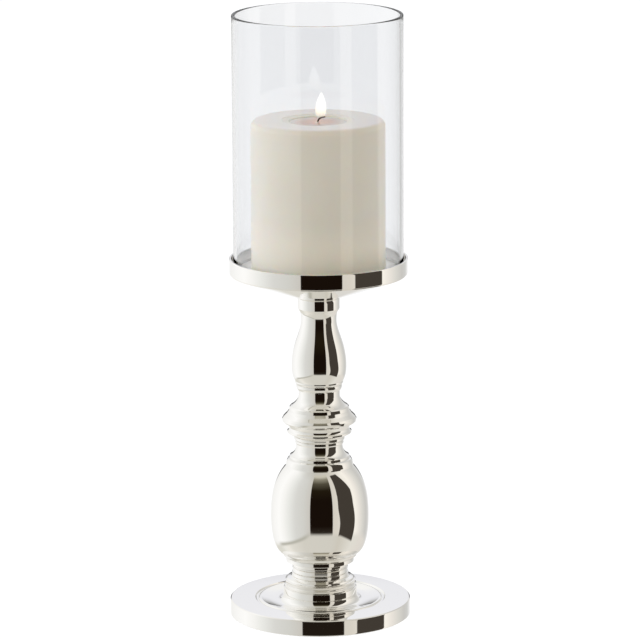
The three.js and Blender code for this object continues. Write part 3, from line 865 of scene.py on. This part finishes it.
def wax_finish(name, shine, melting):
    """Wax that light sinks into. The part marked soft is paler, as it has melted."""
    material, tree, surface = new_material(
        name, Subsurface_Weight=0.6, Subsurface_Scale=0.006, Subsurface_Radius=(1.0, 0.62, 0.36), IOR=1.44,
        Sheen_Weight=0.35, Sheen_Roughness=0.4)
    mottle = use_group(tree, grain, Size=wax_grain, Roughness=0.55)
    height = on_piece(tree)[1]["Z"]
    # Painted light, fading upwards from the foot, against the shade of the tray.
    above_painted_light = remap(tree, height, candle_low.z, candle_low.z + painted_light_rise)
    body = mixed(tree, above_painted_light, wax_foot_painted_light, mixed(tree, mottle["Patches"], wax_deep, wax_pale))
    warm = times(tree, marked(tree, "soft"), melting)
    rough = calculate(tree, "MULTIPLY_ADD", mottle["Grain"], 0.15, shine)
    feed(surface, Base_Color=mixed(tree, warm, body, wax_melting), Roughness=rough)
    bump(tree, surface, mottle["Grain"], wax_rise)
    return material


wick_low, wick_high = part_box("wick")
wick_radius = -wick_low.x
bore = wick_radius + bore_clearance
outside = [
    (bore, candle_low.z), (candle_high.x - candle_bevel, candle_low.z),
    (candle_high.x, candle_low.z + candle_bevel)]
outside += arc(candle_high.x - candle_shoulder, candle_high.z - candle_shoulder, candle_shoulder,
               math.pi / 2, shoulder_steps)
outside += [
    (melt_ring + 1.6 * MM, candle_high.z - 0.15 * MM),
    (melt_ring + 0.5 * MM, candle_high.z - 0.05 * MM),
    (melt_ring, candle_high.z - 0.45 * MM),
    (melt_ring - 1.8 * MM, candle_high.z - 0.75 * MM),
    (pool_radius + 0.7 * MM, candle_high.z - 0.7 * MM),
    (pool_radius, candle_high.z - 0.95 * MM),
    (pool_radius - pool_slope, candle_high.z - pool_depth),
    (bore, candle_high.z - pool_depth),
]
inside = [(bore, candle_high.z - pool_depth - bore_floor)]
pillar = turned_piece("wax_pillar", outside, inside, wax_finish("pillar_wax", 0.38, 0.5),
                      corner=candle_corner, waver=pool_waver, soft_height=candle_high.z - melted_depth)
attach(pillar, "pillar_candle")
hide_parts("candle")

# Melted pool: clear liquid wax that fills the hollow in the candle's top. It is warm and pinkish, glossy,
# and paler towards its rim, where it is setting again.
pool_warm = (0.86, 0.56, 0.44, 1)
pool_setting = (0.88, 0.72, 0.62, 1)
pool_clear = 10.0 * MM
swirl_size = 0.6 * MM
swirl_reach = 6.0 * MM
pool_ripple = 0.05 * MM


def liquid_wax_finish():
    material, tree, surface = new_material(
        "liquid_wax", Subsurface_Weight=0.5, Subsurface_Scale=0.004, Subsurface_Radius=(1.0, 0.5, 0.3),
        IOR=1.44)
    swirl = use_group(tree, grain, Size=swirl_size, Roughness=0.5)
    radius = from_axis(tree, on_piece(tree)[1])
    wide = calculate(tree, "MULTIPLY_ADD", swirl["Patches"], swirl_reach, radius)
    setting = remap(tree, wide, pool_clear, pool_radius + 3.0 * MM)
    rough = remap(tree, setting, to_low=0.05, to_high=0.16)
    feed(surface, Base_Color=mixed(tree, setting, pool_warm, pool_setting), Roughness=rough)
    bump(tree, surface, swirl["Patches"], pool_ripple)
    return material


pool_floor = candle_high.z - pool_depth + 0.03 * MM
pool_top = candle_high.z - pool_fill
pool_wall = pool_radius - 0.42 * MM
outside = [(0.0, pool_floor), (pool_radius - pool_slope, pool_floor), (pool_wall, pool_top)]
melted = turned_piece("melted_pool", outside, [(0.0, pool_top)], liquid_wax_finish(), corner=0.1 * MM,
                      waver=pool_waver, soft_height=pool_floor)
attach(melted, "pillar_candle")

# Wick: three strands of cotton braided into a cord. It stands in the wax for the whole height of the
# candle, and where it stands free it has burnt black and bent over.
strand_depth = 0.2
strands_in_wick = 3
braid_turns = 26.0
wick_steps = 220
wick_sides = 24
bend_steps = 16
wick_straight = 0.4 * MM
burnt_fade = 1.2 * MM
cotton_fibre = 0.12 * MM
cotton_rise = 0.05 * MM
cotton = (0.62, 0.56, 0.46, 1)
char = (0.016, 0.010, 0.008, 1)
char_warm = (0.060, 0.026, 0.014, 1)


def braiding_tree():
    """Draws a cord of three twisted strands along a path."""
    inputs = {"Path": "Geometry", "Radius": "Float", "Turns": "Float", "Finish": "Material"}
    tree, identifiers, given = new_shape_tree("braiding", inputs, "Cord")
    path = put(tree, "GeometryNodeMeshToCurve", {"Mesh": given["Path"]})
    path = put(tree, "GeometryNodeResampleCurve", {"Curve": path.outputs[0], "Count": wick_steps})
    along = put(tree, "GeometryNodeSplineParameter").outputs["Factor"]
    twist = times(tree, times(tree, along, given["Turns"]), 2 * math.pi)
    path = put(tree, "GeometryNodeSetCurveTilt", {"Curve": path.outputs[0], "Tilt": twist})
    circle = put(tree, "GeometryNodeCurvePrimitiveCircle", {"Resolution": wick_sides, "Radius": 1.0},
                 mode="RADIUS")
    around = put(tree, "GeometryNodeSplineParameter").outputs["Factor"]
    turn = times(tree, around, strands_in_wick * math.pi)
    lobe = calculate(tree, "ABSOLUTE", calculate(tree, "COSINE", turn))
    lobed = calculate(tree, "MULTIPLY_ADD", lobe, strand_depth, 1 - strand_depth)
    reach = times(tree, lobed, given["Radius"])
    spot = put(tree, "GeometryNodeInputPosition").outputs[0]
    wide = put(tree, "ShaderNodeVectorMath", {0: spot, "Scale": reach}, operation="SCALE").outputs["Vector"]
    section = reshape(tree, circle, "GeometryNodeSetPosition", {"Position": wide})
    cord = put(tree, "GeometryNodeCurveToMesh", {
        "Curve": path.outputs[0], "Profile Curve": section.outputs[0], "Fill Caps": True})
    finish_shape(tree, cord, given["Finish"], "Cord")
    return tree, identifiers


def wick_finish():
    """Pale waxed cotton inside the candle, charred black above the pool."""
    material, tree, surface = new_material("charred_cotton")
    strands = use_group(tree, grain, Size=cotton_fibre, Roughness=0.7)
    black = mixed(tree, strands["Grain"], char, char_warm)
    burnt = remap(tree, on_piece(tree)[1]["Z"], pool_top - burnt_fade, pool_top)
    rough = remap(tree, strands["Grain"], to_low=0.6, to_high=0.95)
    feed(surface, Base_Color=mixed(tree, burnt, cotton, black), Roughness=rough)
    bump(tree, surface, strands["Grain"], cotton_rise)
    return material


wick_bend = candle_high.z - pool_depth + wick_straight
wick_tip = Vector((wick_high.x - 0.1 * MM, 0.0, wick_high.z - wick_radius - 0.05 * MM))
pull_up = Vector((0.0, 0.0, wick_bend + 0.8 * (wick_tip.z - wick_bend)))
pull_over = Vector((0.45 * wick_tip.x, 0.0, wick_tip.z))
bend_start = Vector((0.0, 0.0, wick_bend))
wick_path = [(0.0, 0.0, wick_low.z), (0.0, 0.0, (wick_low.z + wick_bend) / 2), tuple(bend_start)]
wick_path += [tuple(point) for point in curved(bend_start, pull_up, pull_over, wick_tip, bend_steps)]
wick_line = bpy.data.meshes.new("wick_path")
wick_line.from_pydata(wick_path, [(index, index + 1) for index in range(len(wick_path) - 1)], [])
cord = {"Radius": wick_radius, "Turns": braid_turns, "Finish": wick_finish()}
wick = grown_piece("braided_wick", wick_line, braiding_tree(), cord)
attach(wick, "pillar_candle")
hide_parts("wick")

# Flame: hot gas, not a part, that stands on the end of the wick while the candle burns. It is white at the
# top, warmer below, and clear where it leaves the wick. A small warm lamp lights the wax under it.
flame_base = 299.4 * MM
flame_height = 15.0 * MM
flame_widest = 3.25 * MM
flame_foot_x = 1.55 * MM
flame_lean = 0.045
flame_low = (1.0, 0.88, 0.70, 1)
flame_high = (1.0, 0.985, 0.95, 1)


def flame_finish(name, strength, clear, solid, cover):
    """Clear up to one share of the flame's height and solid from another, thinner towards its outline."""
    material, tree, surface = new_material(
        name, Base_Color=(0, 0, 0, 1), Roughness=1.0, Specular_IOR_Level=0.0, Emission_Strength=strength)
    share = remap(tree, on_piece(tree)[1]["Z"], flame_base, flame_base + flame_height)
    flicker = use_group(tree, grain, Size=0.8 * MM, Roughness=0.4)
    unrest = calculate(tree, "SUBTRACT", flicker["Grain"], 0.5)
    uneven = calculate(tree, "MULTIPLY_ADD", unrest, 0.12, share)
    hot = remap(tree, uneven, 0.15, 0.6, kind="SMOOTHSTEP")
    fade = remap(tree, uneven, clear, solid, kind="SMOOTHSTEP")
    facing = put(tree, "ShaderNodeLayerWeight", {"Blend": 0.5}).outputs["Facing"]
    thick = times(tree, fade, remap(tree, facing, 1.0, 0.6))
    alpha = times(tree, thick, cover)
    feed(surface, Emission_Color=mixed(tree, hot, flame_low, flame_high), Alpha=alpha)
    return material


def flame_shell(name, width, foot, tip, finish):
    """A teardrop between two shares of the flame's height. Width scales its radius."""
    drop = (
        (0.0, 0.0), (0.62, 0.01), (0.88, 0.08), (0.99, 0.22), (1.0, 0.38), (0.90, 0.54), (0.72, 0.68),
        (0.48, 0.81), (0.22, 0.93), (0.0, 1.0))
    start = flame_base + flame_height * foot
    rise = flame_height * (tip - foot)
    line = [(flame_widest * width * wide, start + rise * high) for wide, high in drop]
    shell = turned_piece(name, line, [], finish, corner=1.2 * MM)
    lean = Matrix.Translation((flame_foot_x - flame_lean * flame_base, 0, 0))
    lean[0][2] = flame_lean
    shell.data.transform(lean)
    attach(shell, "pillar_candle")
    return shell


flame_shell("flame_mantle", 1.0, 0.0, 1.0, flame_finish("flame_mantle", 1.35, -0.15, 0.5, 0.8))
flame_shell("flame_heart", 0.76, 0.08, 0.97, flame_finish("flame_heart", 1.6, 0.05, 0.5, 0.98))

glow = bpy.data.lights.new("flame_glow", "POINT")
glow.energy = 0.0014
glow.color = (1.0, 0.62, 0.36)
glow.shadow_soft_size = 2.5 * MM
flame_glow = bpy.data.objects.new("flame_glow", glow)
flame_glow.matrix_world = Matrix.Translation((flame_foot_x + 0.4 * MM, 0, flame_base + 0.45 * flame_height))
flame_glow.visible_camera = False
flame_glow.visible_glossy = False
flame_glow.visible_transmission = False
scene.collection.objects.link(flame_glow)

# Light and floor: a white table in a pale studio. The silver mirrors two upright dark bands with a bright
# gap between them, and a dark line low at the back. Plainer, paler walls light everything else.
world = bpy.data.worlds.new("studio")
scene.world = world
world.use_nodes = True
studio = world.node_tree
studio.nodes.clear()


def band(tree, value, start, end, soft):
    """1 between start and end, with soft edges."""
    rising = remap(tree, value, start - soft, start + soft, kind="SMOOTHSTEP")
    falling = remap(tree, value, end - soft, end + soft, 1.0, 0.0, kind="SMOOTHSTEP")
    return times(tree, rising, falling)


def ramp(tree, value, low, high, stops):
    """A colour that changes with value. Each stop gives a value and a colour."""
    node = put(tree, "ShaderNodeValToRGB", {0: remap(tree, value, low, high)})
    elements = node.color_ramp.elements
    for index, (at, colour) in enumerate(stops):
        element = elements[index] if index < 2 else elements.new(1.0)
        element.position = (at - low) / (high - low)
        element.color = (*colour, 1)
    return node.outputs[0]


direction = axes_of(studio, put(studio, "ShaderNodeTexCoord").outputs["Generated"])
to_degrees = 180 / math.pi
forward = times(studio, direction["Y"], -1.0)
azimuth = times(studio, calculate(studio, "ARCTAN2", direction["X"], forward), to_degrees)
elevation = times(studio, calculate(studio, "ARCSINE", direction["Z"]), to_degrees)

walls = ramp(studio, azimuth, -180, 180, [
    (-180, (1.0, 1.0, 1.0)),
    (-158, (0.92, 0.92, 0.91)),
    (-130, (1.0, 1.0, 1.0)),
    (-112, (1.04, 1.04, 1.04)),
    (-95, (0.97, 0.97, 0.96)),
    (-78, (0.85, 0.86, 0.84)),
    (-60, (0.72, 0.72, 0.70)),
    (-40, (0.67, 0.67, 0.64)),
    (-24, (0.62, 0.60, 0.56)),
    (40, (0.72, 0.68, 0.61)),
    (92, (0.98, 0.94, 0.87)),
    (105, (0.86, 0.82, 0.77)),
    (120, (0.72, 0.71, 0.67)),
    (136, (0.61, 0.60, 0.58)),
    (150, (0.64, 0.64, 0.63)),
    (168, (0.94, 0.94, 0.94)),
])
ceiling = (0.52, 0.50, 0.44, 1)
overhead = remap(studio, elevation, 45, 75, to_high=0.75)
room = mixed(studio, overhead, walls, ceiling)

backdrop = ramp(studio, elevation, -30, 40, [
    (-9, (0.83, 0.83, 0.82)),
    (-5, (0.09, 0.09, 0.085)),
    (-4, (0.055, 0.055, 0.052)),
    (1.6, (0.055, 0.055, 0.052)),
    (2.2, (0.24, 0.24, 0.24)),
    (5.9, (0.47, 0.47, 0.47)),
    (11, (0.76, 0.765, 0.80)),
    (14.5, (0.86, 0.866, 0.91)),
    (24, (0.90, 0.905, 0.94)),
])
turned_back = calculate(studio, "ABSOLUTE", azimuth)
to_the_back = remap(studio, turned_back, 157, 163, kind="SMOOTHSTEP")
under_ceiling = remap(studio, elevation, 30, 22, kind="SMOOTHSTEP")
above_table = remap(studio, elevation, -9.5, -8)
between = times(studio, under_ceiling, above_table)
backdrop_share = times(studio, to_the_back, between)
room = mixed(studio, backdrop_share, room, backdrop)

first_dark = ramp(studio, elevation, -30, 60, [
    (-28, (0.060, 0.050, 0.038)),
    (-15, (0.009, 0.005, 0.003)),
    (10, (0.009, 0.005, 0.003)),
    (28, (0.016, 0.011, 0.005)),
    (42, (0.085, 0.075, 0.050)),
    (52, (0.28, 0.26, 0.20)),
    (58, (0.60, 0.57, 0.48)),
])
first_mask = times(studio, band(studio, azimuth, -23, 30.5, 0.6), band(studio, elevation, -22.2, 62, 2.2))
room = mixed(studio, first_mask, room, first_dark)

second_dark = (0.055, 0.046, 0.037, 1)
higher = calculate(studio, "MAXIMUM", calculate(studio, "SUBTRACT", elevation, 15), 0)
leaning = calculate(studio, "ADD", azimuth, times(studio, higher, 0.45))
table = ramp(studio, azimuth, -180, 180, [
    (-180, (0.72, 0.70, 0.64)),
    (-130, (0.75, 0.74, 0.68)),
    (-110, (0.86, 0.85, 0.80)),
    (-95, (0.88, 0.85, 0.79)),
    (-78, (0.76, 0.74, 0.68)),
    (-40, (0.67, 0.65, 0.59)),
    (30, (0.66, 0.64, 0.58)),
    (48, (0.64, 0.61, 0.54)),
    (88, (0.78, 0.76, 0.70)),
    (120, (0.77, 0.73, 0.68)),
    (160, (0.72, 0.70, 0.66)),
])
table_shade = (0.47, 0.46, 0.40, 1)
from_dip = times(studio, calculate(studio, "ADD", azimuth, 93), 1 / 68)
dip = calculate(studio, "MINIMUM", times(studio, from_dip, from_dip), 1.0)
table_line = calculate(studio, "MULTIPLY_ADD", dip, 9.0, -29.5)
over_line = calculate(studio, "SUBTRACT", elevation, table_line)
below = remap(studio, over_line, 1.0, -3.0)
room = mixed(studio, below, room, table)
shade = times(studio, band(studio, azimuth, -125, -28, 14), band(studio, over_line, -2.5, 1.0, 2.2))
room = mixed(studio, shade, room, table_shade)

nearer = times(studio, band(studio, elevation, -20, -8, 7.0), -4.5)
leaning = calculate(studio, "ADD", leaning, nearer)
past = calculate(studio, "MAXIMUM", calculate(studio, "SUBTRACT", azimuth, 50), 0)
sinking = calculate(studio, "MULTIPLY_ADD", past, 0.15, elevation)
second_mask = times(studio, band(studio, leaning, 44, 86, 0.6), band(studio, sinking, -22.5, 56, 1.5))
right_side = remap(studio, azimuth, 43.2, 44.0)
room = mixed(studio, times(studio, second_mask, right_side), room, second_dark)

path = put(studio, "ShaderNodeLightPath").outputs
bounces = calculate(studio, "ADD", path["Diffuse Depth"], path["Glossy Depth"])
straight = calculate(studio, "LESS_THAN", bounces, 0.5)
through_glass = times(studio, path["Is Transmission Ray"], straight)
behind = calculate(studio, "MAXIMUM", path["Is Camera Ray"], through_glass)

light_level = 1.38
lit_walls = ramp(studio, azimuth, -180, 180, [
    (-180, (1.50, 1.50, 1.50)),
    (-95, (1.85, 2.00, 2.40)),
    (-50, (1.0, 1.04, 1.12)),
    (10, (0.52, 0.51, 0.48)),
    (50, (0.66, 0.65, 0.62)),
    (100, (1.34, 1.36, 1.42)),
])
lit_ceiling = (0.27, 0.285, 0.32, 1)
lit = mixed(studio, remap(studio, elevation, 20, 60), lit_walls, lit_ceiling)
lit = put(studio, "ShaderNodeVectorMath", {0: lit, "Scale": light_level}, operation="SCALE").outputs["Vector"]
lighting = calculate(studio, "GREATER_THAN", path["Diffuse Depth"], 0.5)
shown = mixed(studio, behind, mixed(studio, lighting, room, lit), (1, 1, 1, 1))
sky = put(studio, "ShaderNodeBackground", {"Color": shown, "Strength": 1.0})
put(studio, "ShaderNodeOutputWorld", {"Surface": sky.outputs[0]})

floor_side = 8.0
floor_glow = 0.86
floor_white = (0.20, 0.20, 0.20, 1)


def floor_finish():
    """White to the camera but for the holder's shadow. The silver mirrors the studio's own table instead."""
    material = bpy.data.materials.new("white_table")
    material.use_nodes = True
    tree = material.node_tree
    tree.nodes.clear()
    path = put(tree, "ShaderNodeLightPath").outputs
    shaded = put(tree, "ShaderNodeBsdfDiffuse", {"Color": floor_white})
    glow = put(tree, "ShaderNodeEmission", {"Color": (1, 1, 1, 1), "Strength": floor_glow})
    seen = put(tree, "ShaderNodeAddShader", {0: shaded.outputs[0], 1: glow.outputs[0]})
    clear = put(tree, "ShaderNodeBsdfTransparent")
    bounced = put(tree, "ShaderNodeBsdfDiffuse", {"Color": (0.8, 0.8, 0.79, 1)})
    direct = calculate(tree, "MAXIMUM", path["Is Camera Ray"], path["Is Transmission Ray"])
    not_mirrored = put(tree, "ShaderNodeMixShader", {0: direct, 1: bounced.outputs[0], 2: seen.outputs[0]})
    surface = put(tree, "ShaderNodeMixShader", {
        0: path["Is Glossy Ray"], 1: not_mirrored.outputs[0], 2: clear.outputs[0]})
    put(tree, "ShaderNodeOutputMaterial", {"Surface": surface.outputs[0]})
    return material


half = floor_side / 2
floor_corners = [(-half, -half, 0), (half, -half, 0), (half, half, 0), (-half, half, 0)]
floor_mesh = bpy.data.meshes.new("table_top")
floor_mesh.from_pydata(floor_corners, [], [(0, 1, 2, 3)])
floor_mesh.materials.append(floor_finish())
floor = bpy.data.objects.new("table_top", floor_mesh)
scene.collection.objects.link(floor)

key_size = 1.2
key_distance = 2.2
key = bpy.data.lights.new("soft_key", "AREA")
key.shape = "DISK"
key.size = key_size
key.energy = 5.0
key_lamp = bpy.data.objects.new("soft_key", key)
key_turn = Matrix.Rotation(math.radians(-60), 4, "Z") @ Matrix.Rotation(math.radians(38), 4, "X")
key_lamp.matrix_world = key_turn @ Matrix.Translation((0, 0, key_distance))
key_lamp.visible_glossy = False
key_lamp.visible_transmission = False
scene.collection.objects.link(key_lamp)
